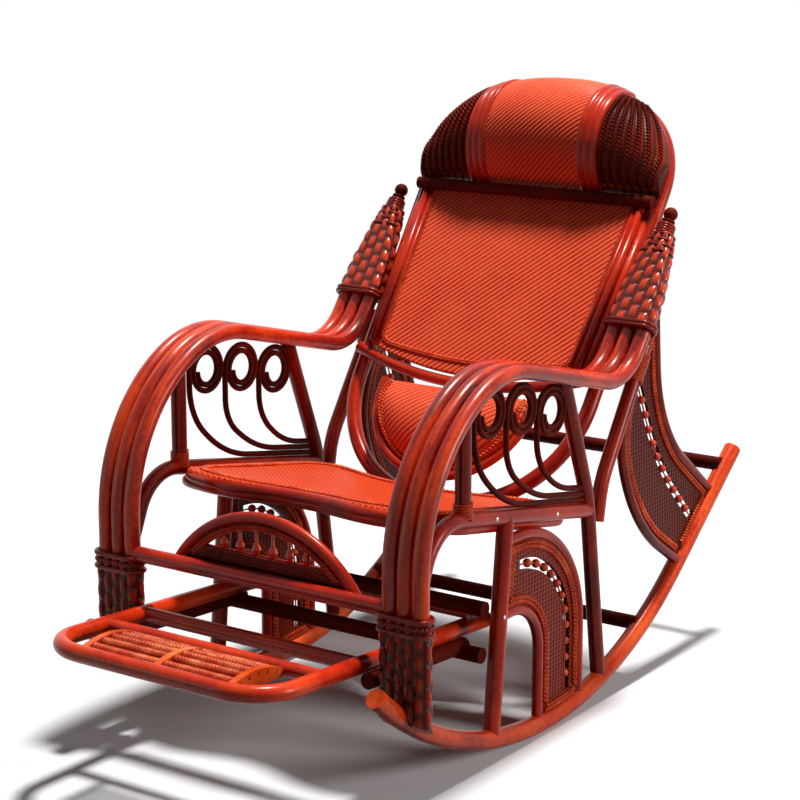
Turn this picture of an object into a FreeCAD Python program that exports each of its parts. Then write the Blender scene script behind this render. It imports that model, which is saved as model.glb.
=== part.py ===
import FreeCAD, Part
import math
import os
from FreeCAD import Vector, Placement, Rotation

# Rattan rocking chair: bent cane poles, woven panels and a slide-out footrest.
# X runs across the chair, the sitter faces -Y, Z is up and the runners touch the floor at z = 0.

# Driving dimensions, mm
TRACK = 285.0             # half the distance between the two side frames
ARM_POLE = 27.0           # diameter of the three arm poles
RAIL_POLE = 26.0          # diameter of rails, posts and legs
BAR_POLE = 24.0           # diameter of the footrest's cross bars
MIDDLE_POLE = 28.0        # diameter of the middle legs
RUNNER_POLE = 32.0
FRAME_POLE = 18.0         # diameter of the poles round the woven panels
SCROLL_CANE = 10.0
CLEAR = 0.3               # space left between neighbouring poles
SEATING = 0.1             # space left where a pole is coped onto another

# The chair is drawn from the front leg's datum, then set on the floor and centred by this move
FLOOR = Vector(0, -17.65, -8.7)

# Runner: a circular arc and a straight tail
RUNNER_RADIUS = 723.0
RUNNER_CENTRE = (17.5, 747.7)
RUNNER_FRONT_ANGLE = 42.0
RUNNER_TAIL_ANGLE = 38.1
RUNNER_TAIL = 285.0

# Arm: leg, arm and back post, as corner points (y, z) and bend radii
LEG_Y = -388.0
ARM_CORNERS = [(LEG_Y, 100.0), (LEG_Y, 536.0), (-172.0, 662.0), (218.0, 566.0)]
ARM_BENDS = [280.0, 210.0, 100.0]
POST_RISE = 1.32          # slope of the back post
POST_TOP_Z = 810.0
POST_SLEEVE_LOW_Z = 648.0
POST_SLEEVE_LENGTH = 185.0
LEG_SLEEVE_TOP_Z = 320.0
SLEEVE_WALL = 2.8
SLEEVE_RIM = 2.0          # how far a sleeve's rim stands out
SLEEVE_RIM_HEIGHT = 11.0

# Seat: the rails fall to the rear
RAIL_SLOPE = 0.185
RAIL_Z0 = 386.2           # height of the seat rail's axis at y = 0
FRAME_DROP = 18.0         # seat frame axis below the rail axis
SEAT_HALF_WIDTH = 259.0
SEAT_FRAME_HALF = 271.4   # the frame's sides are tucked under the rails
SEAT_THICKNESS = 13.0
SEAT_DISH = 6.0
SEAT_BAR = 16.0
SEAT_BAR_Y = (-190.0, -40.0)

# Back: a plane leaning to the rear through the head bar
BACK_POINT = Vector(0, 435, 848)
BACK_TILT = 52.6          # degrees from the floor
BACK_FRAME_DEPTH = -30.0
HEAD_LEAN = 2.86          # degrees that the frame and the head lean forward of the panel
BACK_HALF_WIDTH = 254.0
BACK_LOW_HALF_WIDTH = 240.0
BACK_FRAME_POLE = 27.0
HEAD_BAR_POLE = 22.0
PILLOW_STRAP_X = 115.0
PILLOW_STRAP_WIDTH = 18.0
PILLOW_WALL = 7.0

# Footrest: the loop runs in a plane that falls to the rear
REST_FRONT_Y = -646.0
REST_FRONT_Z = 247.0
REST_SLOPE_DEG = -3.6
REST_HALF_WIDTH = 216.0
REST_POLE = 28.0
REST_LENGTH = 587.0
GUIDE_POLE = 26.0
ROLLER_COUNT = 5
ROLLER_PITCH = 21.0
ROLLER_RADIUS = 8.5
AXLE_RADIUS = 3.5
BOARD_X = 143.0
BOARD_WIDTH = 12.0

parts = {}


def route(points, bends, closed=False):
    """Wire through corner points, with a tangent arc of the given radius at each inner corner."""
    count = len(points)
    corners = range(count) if closed else range(1, count - 1)
    rounded = {}
    for place, corner in enumerate(corners):
        point = points[corner]
        back = (points[corner - 1] - point).normalize()
        ahead = (points[(corner + 1) % count] - point).normalize()
        half = back.getAngle(ahead) / 2
        reach = bends[place] / math.tan(half)
        middle = (back + ahead).normalize()
        crown = point + middle * (bends[place] / math.sin(half) - bends[place])
        rounded[corner] = (point + back * reach, crown, point + ahead * reach)
    edges = []
    last = rounded[count - 1][2] if closed else points[0]
    for corner in corners:
        start, crown, end = rounded[corner]
        if last.distanceToPoint(start) > 1e-3:
            edges.append(Part.LineSegment(last, start).toShape())
        edges.append(Part.Arc(start, crown, end).toShape())
        last = end
    if not closed:
        edges.append(Part.LineSegment(last, points[-1]).toShape())
    return Part.Wire(edges)


def pole(wire, diameter):
    """Round pole along a wire: a cylinder on each line and a torus piece on each arc."""
    pieces = []
    for edge in wire.Edges:
        start = edge.valueAt(edge.FirstParameter)
        along = edge.tangentAt(edge.FirstParameter)
        disc = Part.Face(Part.Wire(Part.makeCircle(diameter / 2, start, along)))
        if edge.Curve.TypeId == "Part::GeomCircle":
            angle = math.degrees(edge.LastParameter - edge.FirstParameter)
            pieces.append(disc.revolve(edge.Curve.Center, edge.Curve.Axis, angle))
        else:
            pieces.append(disc.extrude(along * edge.Length))
    return pieces[0].fuse(pieces[1:]) if len(pieces) > 1 else pieces[0]


def rod(start, end, diameter):
    return Part.makeCylinder(diameter / 2, start.distanceToPoint(end), start, end - start)


def cross_rod(y, z, half_length, diameter):
    return rod(Vector(-half_length, y, z), Vector(half_length, y, z), diameter)


def side_route(x, corners, bends):
    return route([Vector(x, y, z) for y, z in corners], bends)


def cope(shape, *tools):
    """Cut the shape back from its neighbours and keep its largest piece."""
    for tool in tools:
        shape = shape.cut(tool)
    return max(shape.Solids, key=lambda solid: solid.Volume)


def mirrored(shape):
    return shape.mirror(Vector(0, 0, 0), Vector(1, 0, 0))


def both_sides(name, shape):
    parts["left_" + name] = shape
    parts["right_" + name] = mirrored(shape)


def rail_z(y):
    return RAIL_Z0 - RAIL_SLOPE * y


def stadium(half_length, radius, centre_x):
    """Closed outline of poles lying side by side along X, in the XY plane."""
    low = Vector(centre_x - half_length, 0, 0)
    high = Vector(centre_x + half_length, 0, 0)
    up = Vector(0, radius, 0)
    out = Vector(radius, 0, 0)
    return Part.Wire([
        Part.LineSegment(low + up, high + up).toShape(),
        Part.Arc(high + up, high + out, high - up).toShape(),
        Part.LineSegment(high - up, low - up).toShape(),
        Part.Arc(low - up, low - out, low + up).toShape(),
    ])


# Runner

def runner_point(angle):
    turn = math.radians(angle)
    y, z = RUNNER_CENTRE
    return Vector(TRACK, y + RUNNER_RADIUS * math.sin(turn), z - RUNNER_RADIUS * math.cos(turn))


def runner_wire():
    end = runner_point(RUNNER_TAIL_ANGLE)
    turn = math.radians(RUNNER_TAIL_ANGLE)
    tip = end + Vector(0, math.cos(turn), math.sin(turn)) * RUNNER_TAIL
    arc = Part.Arc(runner_point(-RUNNER_FRONT_ANGLE), runner_point(0), end)
    return Part.Wire([arc.toShape(), Part.LineSegment(end, tip).toShape()])


def runner_bed():
    """The runner with the space that its neighbours keep from it."""
    return pole(runner_wire(), RUNNER_POLE + 2 * SEATING)


# Arm, leg and back post

PITCH = ARM_POLE + CLEAR
POST_DIRECTION = Vector(0, 1, POST_RISE).normalize()


def post_point(z):
    corner = ARM_CORNERS[-1]
    return Vector(0, corner[0] + (z - corner[1]) / POST_RISE, z)


def arm_wire(place, post_end_z):
    end = post_point(post_end_z)
    return side_route(TRACK + place * PITCH, ARM_CORNERS + [(end.y, end.z)], ARM_BENDS)


SLEEVE_TAPER = [(0.0, 27.3, 1.0), (0.4, 24.0, 0.95), (0.72, 15.0, 0.85), (1.0, 4.0, 0.7)]


def post_sleeve_solid(wall):
    """Tapered body round the post: three poles wide at its foot, about one at its top."""
    sections = []
    for share, half, thinning in SLEEVE_TAPER:
        section = stadium(half, ARM_POLE / 2 + thinning * wall, TRACK)
        section.translate(Vector(0, 0, share * POST_SLEEVE_LENGTH))
        sections.append(section)
    body = Part.makeLoft(sections, True, True)
    lean = math.degrees(math.atan(1 / POST_RISE))
    body.Placement = Placement(post_point(POST_SLEEVE_LOW_Z), Rotation(Vector(1, 0, 0), -lean))
    return body


def post_sleeve():
    rim_wall = SLEEVE_WALL + SLEEVE_RIM
    slab = Part.makeBox(900, 200, SLEEVE_RIM_HEIGHT, Vector(-100, -100, 0))
    slab.Placement = post_sleeve_solid(SLEEVE_WALL).Placement.multiply(slab.Placement)
    rim = post_sleeve_solid(rim_wall).common(slab)
    return post_sleeve_solid(SLEEVE_WALL).fuse(rim).cut(post_sleeve_solid(CLEAR)).removeSplitter()


def leg_foot():
    """Block below the sloping line where the leg and its sleeve straddle the runner."""
    angle = math.degrees(math.asin((RUNNER_CENTRE[0] - LEG_Y) / RUNNER_RADIUS))
    heel = runner_point(-angle)
    block = Part.makeBox(200, 400, 300, Vector(-100, -200, -307))
    block.Placement = Placement(heel, Rotation(Vector(1, 0, 0), -angle))
    return block


def leg_sleeve_solid(wall):
    foot_z = ARM_CORNERS[0][1]
    outline = stadium(PITCH, ARM_POLE / 2 + wall, TRACK)
    outline.translate(Vector(0, LEG_Y, foot_z))
    return Part.Face(outline).extrude(Vector(0, 0, LEG_SLEEVE_TOP_Z - foot_z))


def leg_sleeve():
    corner = Vector(0, LEG_Y - 100, LEG_SLEEVE_TOP_Z - SLEEVE_RIM_HEIGHT)
    slab = Part.makeBox(900, 200, SLEEVE_RIM_HEIGHT, corner)
    rim = leg_sleeve_solid(SLEEVE_WALL + SLEEVE_RIM).common(slab)
    body = leg_sleeve_solid(SLEEVE_WALL).fuse(rim).cut(leg_sleeve_solid(CLEAR)).removeSplitter()
    return body.cut(leg_foot()).cut(runner_bed())


def arm_poles():
    """Three poles side by side. The sleeve's taper scarfs the ends of the outer and inner one."""
    inside = post_sleeve_solid(CLEAR)
    block = Part.makeBox(900, 400, 400, Vector(-100, -200, 0))
    block.Placement = inside.Placement
    scarf = block.cut(inside)
    foot = leg_foot()
    bed = runner_bed()
    poles = []
    for place, post_end_z in ((1, 760.0), (0, POST_TOP_Z), (-1, 760.0)):
        body = pole(arm_wire(place, post_end_z), ARM_POLE)
        body = cope(body, foot, bed)
        if place:
            body = cope(body, scarf)
        poles.append(body)
    return Part.makeCompound(poles)


def arm_bed(place=0):
    return pole(arm_wire(place, 700.0), ARM_POLE + 2 * SEATING)


FINIAL_DISCS = [(13.0, 0.0, 4.0), (10.0, 4.0, 6.5), (12.0, 6.5, 10.0), (7.0, 10.0, 14.0)]  # radius, low, top
FINIAL_BALL = 12.5


def finial():
    """Turned foot, ringed neck and ball on the middle pole's end."""
    discs = [Part.makeCylinder(radius, top - low, Vector(0, 0, low)) for radius, low, top in FINIAL_DISCS]
    body = discs[0].fuse(discs[1:] + [Part.makeSphere(FINIAL_BALL, Vector(0, 0, 23.0))])
    lean = math.degrees(math.atan(1 / POST_RISE))
    seat = post_point(POST_TOP_Z) + Vector(TRACK, 0, 0) + POST_DIRECTION * SEATING
    body.Placement = Placement(seat, Rotation(Vector(1, 0, 0), -lean))
    return body


# Rails, posts and legs of a side frame

def seat_rail_wire():
    return side_route(TRACK, [(-362.5, 322.0), (-310.0, 443.6), (175.0, rail_z(175.0))], [85.0])


def rear_leg_wire():
    return side_route(TRACK, [(52.0, 622.0), (145.0, 383.0), (198.0, 30.0)], [200.0])


def middle_leg(space):
    return rod(Vector(TRACK, -150, 22), Vector(TRACK, -110.5, 408), MIDDLE_POLE + 2 * space)


STRUT_CORNERS = [(179.6, 332.0), (192.0, 396.0), (334.0, 609.0)]
STRUT_PEG_Z = 585.0


def back_strut():
    """Pole behind the rear leg, with a peg at its top that meets the back frame."""
    wire = side_route(TRACK, STRUT_CORNERS, [150.0])
    body = cope(pole(wire, RAIL_POLE), pole(rear_leg_wire(), RAIL_POLE + 2 * SEATING))
    (low_y, low_z), (high_y, high_z) = STRUT_CORNERS[1:]
    y = low_y + (high_y - low_y) * (STRUT_PEG_Z - low_z) / (high_z - low_z)
    target = back_frame_point(STRUT_PEG_Z)
    peg = rod(Vector(TRACK, y, STRUT_PEG_Z), target, 12.0)
    return body.fuse(cope(peg, on_head(pole(back_loop(), BACK_FRAME_POLE + 2 * SEATING))))


def side_rails():
    rail = pole(seat_rail_wire(), RAIL_POLE)
    rail_bed = pole(seat_rail_wire(), RAIL_POLE + 2 * SEATING)
    leg_bed = pole(rear_leg_wire(), RAIL_POLE + 2 * SEATING)
    both_sides("seat_rail", cope(rail, leg_bed))
    both_sides("rear_leg", cope(pole(rear_leg_wire(), RAIL_POLE), arm_bed(), runner_bed()))
    post = rod(Vector(TRACK, -234, 425), Vector(TRACK, -234, 640), RAIL_POLE)
    both_sides("arm_post", cope(post, arm_bed(), rail_bed))
    both_sides("middle_leg", cope(middle_leg(0), rail_bed, runner_bed(), seat_bed()))
    both_sides("back_strut", back_strut())


# Scrolls under the arm

SCROLL_CENTRES = [(-164.0, 584.0), (-70.0, 571.0), (22.0, 551.5)]
SCROLL_ELBOW_Z = [510.7, 485.0, 477.0]      # where each tail starts to bend under its ring
SCROLL_FOOT_Y = [-114.4, -29.0, 47.7]       # where each tail comes down on the rail
SCROLL_BENDS = [(220.0, 117.0), (220.0, 80.0), (150.0, 90.0)]
SCROLL_RADIUS = 41.5
SCROLL_STEP = 5.3         # how much each half turn winds in
SCROLL_HALF_TURNS = 4


def scroll(place):
    """Tail along the rail, two bends up, then a spiral of half circles about two alternating centres."""
    y, z = SCROLL_CENTRES[place]
    lift = (RAIL_POLE / 2 + SCROLL_CANE * (place + 0.5) + CLEAR * (place + 1)) * math.hypot(1, RAIL_SLOPE)
    front = y - SCROLL_RADIUS
    foot = SCROLL_FOOT_Y[place]
    corners = [(along, rail_z(along) + lift) for along in (150.0, foot)]
    corners += [(front, SCROLL_ELBOW_Z[place]), (front, z)]
    tail = side_route(TRACK, corners, SCROLL_BENDS[place])
    edges = list(tail.Edges)
    radius = SCROLL_RADIUS
    start = Vector(TRACK, front, z)
    heading = 1
    for turn in range(SCROLL_HALF_TURNS):
        centre = start + Vector(0, heading * radius, 0)
        end = centre + Vector(0, heading * radius, 0)
        edges.append(Part.Arc(start, centre + Vector(0, 0, heading * radius), end).toShape())
        start = end
        heading = -heading
        radius -= SCROLL_STEP
    leg_bed = pole(rear_leg_wire(), RAIL_POLE + 2 * SEATING)
    return cope(pole(Part.Wire(edges), SCROLL_CANE), leg_bed)


# Woven panels with bead channels

def bead_string(wire, count, bead_diameter, string_diameter=3.0):
    string = pole(wire, string_diameter)
    beads = [Part.makeSphere(bead_diameter / 2, point) for point in wire.discretize(Number=count + 2)[1:-1]]
    return string.fuse(beads)


def web(front, rear, thickness):
    """Flat web between two routes in one side plane."""
    first = front.Vertexes
    last = rear.Vertexes
    edges = list(front.Edges) + list(rear.Edges)
    edges.append(Part.LineSegment(first[0].Point, last[0].Point).toShape())
    edges.append(Part.LineSegment(first[-1].Point, last[-1].Point).toShape())
    face = Part.Face(Part.Wire(Part.__sortEdges__(edges)))
    face.translate(Vector(-thickness / 2, 0, 0))
    return face.extrude(Vector(thickness, 0, 0))


WEB = 8.0
CHANNEL = 21.0
BEAD = 15.0


def fan_panel():
    leg_bed = middle_leg(SEATING)
    bed = runner_bed()
    outer = side_route(TRACK, [(-114.0, 366.0), (123.0, 366.0), (123.0, 20.0)], [195.0])
    inner = side_route(TRACK, [(-127.0, 244.0), (-6.5, 244.0), (-6.5, 10.0)], [85.0])
    frame = [cope(pole(path, FRAME_POLE), leg_bed, bed, seat_bed()) for path in (outer, inner)]
    channel = side_route(TRACK, [(-72.0, 316.0), (79.0, 316.0), (79.0, 62.0)], [150.0])
    body = web(outer, inner, WEB)
    for path in (outer, inner):
        body = body.cut(pole(path, FRAME_POLE + 2 * SEATING))
    body = cope(body, leg_bed, bed, pole(channel, CHANNEL))
    return Part.makeCompound(frame), body, bead_string(channel, 11, BEAD)


TAIL_LEAN = -3.0          # degrees that the tail panel leans, inwards at its top
TAIL_FRONT = [(400.0, 657.5), (259.1, 468.9), (320.8, 286.0), (472.0, 189.0)]
TAIL_REAR = [(408.0, 690.0), (406.0, 444.4), (622.0, 277.2)]
TAIL_CHANNEL = [(340.0, 538.0), (401.0, 385.0), (525.0, 258.2)]
TAIL_WEB = 5.0


def tail_panel():
    bed = runner_bed()
    strut = pole(side_route(TRACK, STRUT_CORNERS, [150.0]), RAIL_POLE + 2 * SEATING)
    heel = Vector(TRACK + 2, 0, 215)

    def leaned(shape):
        return shape.rotated(heel, Vector(0, 1, 0), TAIL_LEAN)

    front = side_route(heel.x, TAIL_FRONT, [170.0, 285.0])
    rear = side_route(heel.x, TAIL_REAR, [235.0])
    channel = side_route(heel.x, TAIL_CHANNEL, [420.0])
    rear_bed = leaned(pole(rear, FRAME_POLE + 2 * SEATING))
    frame = [cope(leaned(pole(front, FRAME_POLE)), bed, rear_bed, strut)]
    frame.append(cope(leaned(pole(rear, FRAME_POLE)), bed))
    body = web(front, rear, TAIL_WEB)
    for path in (front, rear):
        body = body.cut(pole(path, FRAME_POLE + 2 * SEATING))
    body = cope(leaned(body), bed, leaned(pole(channel, CHANNEL)), strut)
    return Part.makeCompound(frame), body, leaned(bead_string(channel, 10, BEAD))


# Front rail and lunette

LUNETTE_HALF = 177.0
LUNETTE_FOOT_Z = 322.0
LUNETTE_TOP_Z = 416.0
FRONT_RAIL_Z = 322.0


def front_rail():
    ends = [leg_sleeve_solid(SLEEVE_WALL + SLEEVE_RIM + SEATING), arm_bed(-1)]
    ends += [mirrored(end) for end in ends]
    return cope(cross_rod(LEG_Y, FRONT_RAIL_Z, TRACK - 30, RAIL_POLE), *ends)


def arch_wire(half, foot_z, top_z, y):
    ends = [Vector(side * half, y, foot_z) for side in (-1, 1)]
    return Part.Wire(Part.Arc(ends[0], Vector(0, y, top_z), ends[1]).toShape())


def lunette():
    y = LEG_Y + RAIL_POLE / 2 + FRAME_POLE / 2 + CLEAR
    arch = arch_wire(LUNETTE_HALF, LUNETTE_FOOT_Z, LUNETTE_TOP_Z, y)
    foot = Part.LineSegment(Vector(LUNETTE_HALF, y, LUNETTE_FOOT_Z), Vector(-LUNETTE_HALF, y, LUNETTE_FOOT_Z))
    plate = Part.Face(Part.Wire([arch.Edges[0], foot.toShape()]))
    plate.translate(Vector(0, -WEB / 2, 0))
    plate = plate.extrude(Vector(0, WEB, 0)).cut(pole(arch, FRAME_POLE + 2 * SEATING))
    half, low, high = 124.0, 350.0, 396.0
    sill = Part.LineSegment(Vector(half, y, low), Vector(-half, y, low)).toShape()
    opening = Part.Face(Part.Wire([arch_wire(half, low, high, y).Edges[0], sill]))
    opening.translate(Vector(0, -WEB, 0))
    plate = cope(plate, opening.extrude(Vector(0, 2 * WEB, 0)))
    radius = (half ** 2 + (high - low) ** 2) / (2 * (high - low))
    spindles = []
    for place in range(6):
        x = (place - 2.5) * 33.0
        top = high - radius + math.sqrt(radius ** 2 - x ** 2)
        spindles.append(spindle(x, y, low, top))
    parts["lunette_arch"] = pole(arch, FRAME_POLE)
    parts["lunette_weave"] = plate
    parts["lunette_spindles"] = Part.makeCompound(spindles)


SPINDLE_BEAD = [(2.5, 3.0), (5.5, 7.0), (7.0, 13.0), (5.5, 19.0), (2.5, 24.0)]  # radius, height


def spindle(x, y, low, top):
    """Small turned spindle: a thin pin with an oval bead at its middle."""
    foot = low + SEATING
    head = top - 1.5
    profile = [(0, foot), (2.5, foot)]
    profile += [(radius, low + rise) for radius, rise in SPINDLE_BEAD]
    profile += [(2.5, head), (0, head)]
    corners = [Vector(x + radius, y, z) for radius, z in profile]
    outline = Part.makePolygon(corners + corners[:1])
    return Part.Face(outline).revolve(Vector(x, y, 0), Vector(0, 0, 1), 360)


# Rails across the chair

UPPER_RAIL = (-154.5, 262.0)
LOWER_RAIL = (-162.0, 187.0)
MIDDLE_RAIL_HALF = 276.0


def cross_rails():
    leg = middle_leg(SEATING)
    bed = runner_bed()
    for name, (y, z) in (("upper_middle_rail", UPPER_RAIL), ("lower_middle_rail", LOWER_RAIL)):
        parts[name] = cope(cross_rod(y, z, MIDDLE_RAIL_HALF, RAIL_POLE), leg, mirrored(leg))
    low = cope(cross_rod(336.0, 106.0, TRACK, RAIL_POLE), bed, mirrored(bed))
    high = cope(cross_rod(641.0, 334.0, TRACK, RAIL_POLE), bed, mirrored(bed))
    parts["rear_rails"] = Part.makeCompound([low, high])


# Seat

def seat_outline(half, grow):
    """Plan of the seat: two lobes in front, straight sides, rear edge drawn in round the back frame."""
    right = [(half, 126 + grow), (half, -262 - grow), (150, -300 - grow)]
    points = right + [(0, -258 - grow)] + [(-x, y) for x, y in reversed(right)] + [(0, 34 + grow)]
    bends = [45, 70, 150, 200, 150, 70, 45, 300]
    return route([Vector(x, y, 0) for x, y in points], bends, True)


def on_seat(shape):
    tilt = -math.degrees(math.atan(RAIL_SLOPE))
    seat = Placement(Vector(0, 0, RAIL_Z0 - FRAME_DROP), Rotation(Vector(1, 0, 0), tilt))
    shape.Placement = seat.multiply(shape.Placement)
    return shape


def seat_bed():
    """Room that the seat frame's pole takes from its neighbours."""
    return on_seat(pole(seat_outline(SEAT_FRAME_HALF, 0), FRAME_POLE + 2 * SEATING))


def seat():
    parts["seat_frame"] = on_seat(pole(seat_outline(SEAT_FRAME_HALF, 0), FRAME_POLE))
    bed = pole(seat_outline(SEAT_FRAME_HALF, 0), FRAME_POLE + 2 * SEATING)
    bars = [on_seat(cope(cross_rod(y, 0, SEAT_FRAME_HALF, SEAT_BAR), bed)) for y in SEAT_BAR_Y]
    parts["seat_bars"] = Part.makeCompound(bars)
    face = Part.Face(seat_outline(SEAT_HALF_WIDTH + 8, 8))
    face.translate(Vector(0, 0, FRAME_POLE / 2 + CLEAR))
    slab = face.extrude(Vector(0, 0, SEAT_THICKNESS))
    top = max(slab.Faces, key=lambda one: one.CenterOfMass.z)
    slab = slab.makeFillet(5.0, top.OuterWire.Edges)
    ball_r = SEAT_HALF_WIDTH ** 2 / (2 * SEAT_DISH)
    middle = Vector(0, -80, FRAME_POLE / 2 + CLEAR + SEAT_THICKNESS - SEAT_DISH + ball_r)
    parts["seat_weave"] = on_seat(slab.cut(Part.makeSphere(ball_r, middle)))


# Back: drawn flat with s along Y and n along Z, then leaned back

def on_back(shape):
    lean = Placement(BACK_POINT, Rotation(Vector(1, 0, 0), BACK_TILT))
    shape.Placement = lean.multiply(shape.Placement)
    return shape


def flat(pairs, n=0.0):
    return [Vector(x, s, n) for x, s in pairs]


def head_outline_top(x):
    """Height of the head's outline over the head bar at a distance x from the middle."""
    return 236.0 * math.sqrt(1 - (abs(x) / 264.0) ** 2.4)


def on_head(shape):
    """Leaned forward about the panel's foot, then set on the back."""
    lean = Placement(Vector(0, HEAD_DROP, 0), Rotation(Vector(1, 0, 0), 0))
    pivot = Vector(0, HEAD_PIVOT, BACK_FRAME_DEPTH)
    tip = Placement(Vector(0, 0, 0), Rotation(Vector(1, 0, 0), HEAD_LEAN), pivot)
    shape.Placement = tip.multiply(lean).multiply(shape.Placement)
    return on_back(shape)


def back_loop():
    low = BACK_LOW_HALF_WIDTH
    high = BACK_HALF_WIDTH - 8
    corners = [(low, -594), (high, 158), (0, 246), (-high, 158), (-low, -594)]
    return route(flat(corners, BACK_FRAME_DEPTH), [low - 24, 175, 330, 175, low - 24], True)


def back_frame_point(z):
    """Point of the back frame's left side at a height."""
    run = on_head(Part.LineSegment(*flat([(BACK_LOW_HALF_WIDTH, -594), (BACK_HALF_WIDTH - 8, 158)],
                                         BACK_FRAME_DEPTH)).toShape())
    low, high = sorted((end.Point for end in run.Vertexes), key=lambda point: point.z)
    return low + (high - low) * ((z - low.z) / (high.z - low.z))


HEAD_PIVOT = -300.0       # the lean turns about this line
HEAD_DROP = -8.0
BAR_DEPTH = -5.4
LOW_RAIL_DEPTH = -8.8


def bottom_rail_wire():
    return Part.Wire(Part.Arc(*flat([(-247, -350), (0, -394), (247, -350)], LOW_RAIL_DEPTH)).toShape())


def back_bars():
    bar = rod(Vector(-247, 0, BAR_DEPTH), Vector(247, 0, BAR_DEPTH), HEAD_BAR_POLE)
    parts["head_bar"] = on_head(bar)
    frame = on_head(pole(back_loop(), BACK_FRAME_POLE + 2 * SEATING))
    parts["back_bottom_rail"] = cope(on_back(pole(bottom_rail_wire(), 20.0)), frame)


def back_panel():
    top = -HEAD_BAR_POLE / 2 - CLEAR - 6
    a, b, c, d = flat([(-230, top), (-218, -342), (218, -342), (230, top)], -6.0)
    edge = Part.Arc(b, Vector(0, -381, -6.0), c).toShape()
    lines = [Part.LineSegment(p, q).toShape() for p, q in ((a, b), (c, d), (d, a))]
    face = Part.Face(Part.Wire([lines[0], edge, lines[1], lines[2]]))
    plate = on_back(face.extrude(Vector(0, 0, 8)))
    bed = on_head(rod(Vector(-247, 0, BAR_DEPTH), Vector(247, 0, BAR_DEPTH), HEAD_BAR_POLE + 2 * SEATING))
    frame = on_head(pole(back_loop(), BACK_FRAME_POLE + 2 * SEATING))
    return cope(plate, on_back(pole(bottom_rail_wire(), 20.0 + 2 * SEATING)), bed, frame)


def crowned(stations):
    """Closed form through sections across X. Each is (x, low s, high s, back n, crown)."""
    sections = []
    for x, low, high, back, crown in stations:
        start = Vector(x, low, back)
        end = Vector(x, high, back)
        arc = Part.Arc(start, Vector(x, (low + high) / 2, back + crown), end).toShape()
        sections.append(Part.Wire([arc, Part.LineSegment(end, start).toShape()]))
    return Part.makeLoft(sections, True)


def pillow_form(grow):
    stations = []
    for x in (-252, -215, -160, -80, 80, 160, 215, 252):
        side = (abs(x) / 268.0) ** 3
        low = HEAD_BAR_POLE / 2 + 4 - grow
        top = head_outline_top(x) + grow
        stations.append((x + math.copysign(grow, x), low, top, -14.0, 86.0 * (1 - 0.9 * side) + grow))
    return crowned(stations)


def head():
    hollow = pillow_form(-PILLOW_WALL)
    hollow.translate(Vector(0, 0, -0.5))
    form = pillow_form(0).cut(hollow)
    grown = pillow_form(3.5).cut(hollow)
    half = PILLOW_STRAP_WIDTH / 2
    sections = []
    straps = []
    inner, outer = PILLOW_STRAP_X - half, PILLOW_STRAP_X + half
    edges = [-300, -outer, -inner, inner, outer, 300]
    for place, (low, high) in enumerate(zip(edges, edges[1:])):
        slab = Part.makeBox(high - low - CLEAR, 400, 300, Vector(low + CLEAR / 2, -50, -100))
        if place % 2:
            straps.append(on_head(grown.common(slab)))
        else:
            sections.append(on_head(form.common(slab)))
    parts["head_pillow"] = Part.makeCompound(sections)
    parts["head_straps"] = Part.makeCompound(straps)


LUMBAR_HALF = 150.0
LUMBAR_TOP = -407.0
LUMBAR_LOW = -568.0
LUMBAR_WALL = 6.0


def lumbar_form(grow):
    stations = []
    for x in (-147, -120, -70, 70, 120, 147):
        reach = math.sqrt(1 - (x / (LUMBAR_HALF + 2)) ** 2)
        low = LUMBAR_TOP - 30 - (LUMBAR_TOP - 30 - LUMBAR_LOW) * reach - grow
        crown = 14.0 + 24.0 * reach + grow
        stations.append((x + math.copysign(grow, x), low, LUMBAR_TOP - 1 + grow, -6.0, crown))
    return crowned(stations)


def lumbar():
    half = LUMBAR_HALF + 8.0
    low = LUMBAR_LOW - 8
    corners = [(half, LUMBAR_TOP), (half, low), (-half, low), (-half, LUMBAR_TOP)]
    rim = route(flat(corners), [half - 6, half - 6])
    bed = pole(rim, 16.0 + 2 * SEATING)
    hollow = lumbar_form(-LUMBAR_WALL)
    hollow.translate(Vector(0, 0, -0.5))
    parts["lumbar_pad"] = on_back(cope(lumbar_form(0), bed, hollow))
    parts["lumbar_rim"] = on_back(pole(rim, 16.0))


# Footrest

def on_rest(shape):
    place = Placement(Vector(0, REST_FRONT_Y, REST_FRONT_Z), Rotation(Vector(1, 0, 0), REST_SLOPE_DEG))
    shape.Placement = place.multiply(shape.Placement)
    return shape


BAR_A = 146.0             # distance of the bar behind the rollers from the front pole
BAR_B = 236.0
STOP_BAR = 523.0


def rest_wire():
    half = REST_HALF_WIDTH
    return route(flat([(-half, REST_LENGTH), (-half, 0), (half, 0), (half, REST_LENGTH)]), [75, 75])


def footrest():
    half = REST_HALF_WIDTH
    loop = rest_wire()
    parts["footrest_loop"] = on_rest(pole(loop, REST_POLE))
    bed = pole(loop, REST_POLE + 2 * SEATING)
    bars = []
    for y in (BAR_A, BAR_B):
        bars.append(on_rest(cope(cross_rod(y, 0, half, BAR_POLE), bed)))
    lift = REST_POLE / 2 + 11.0 + SEATING
    bars.append(on_rest(cross_rod(STOP_BAR, lift, half + 10, 22.0)))
    parts["footrest_bars"] = Part.makeCompound(bars)
    guides = []
    beside = TRACK - PITCH - ARM_POLE / 2 - SLEEVE_WALL - GUIDE_POLE / 2 - CLEAR
    below = math.sqrt(((REST_POLE + GUIDE_POLE) / 2 + CLEAR) ** 2 - (beside - half) ** 2)
    for side in (-1, 1):
        x = side * beside
        guide = on_rest(rod(Vector(x, 241, -below), Vector(x, 505, -below), GUIDE_POLE))
        bed = cross_rod(LOWER_RAIL[0], LOWER_RAIL[1], TRACK, RAIL_POLE + 2 * SEATING)
        guides.append(cope(guide, bed))
    parts["footrest_guides"] = Part.makeCompound(guides)


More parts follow.
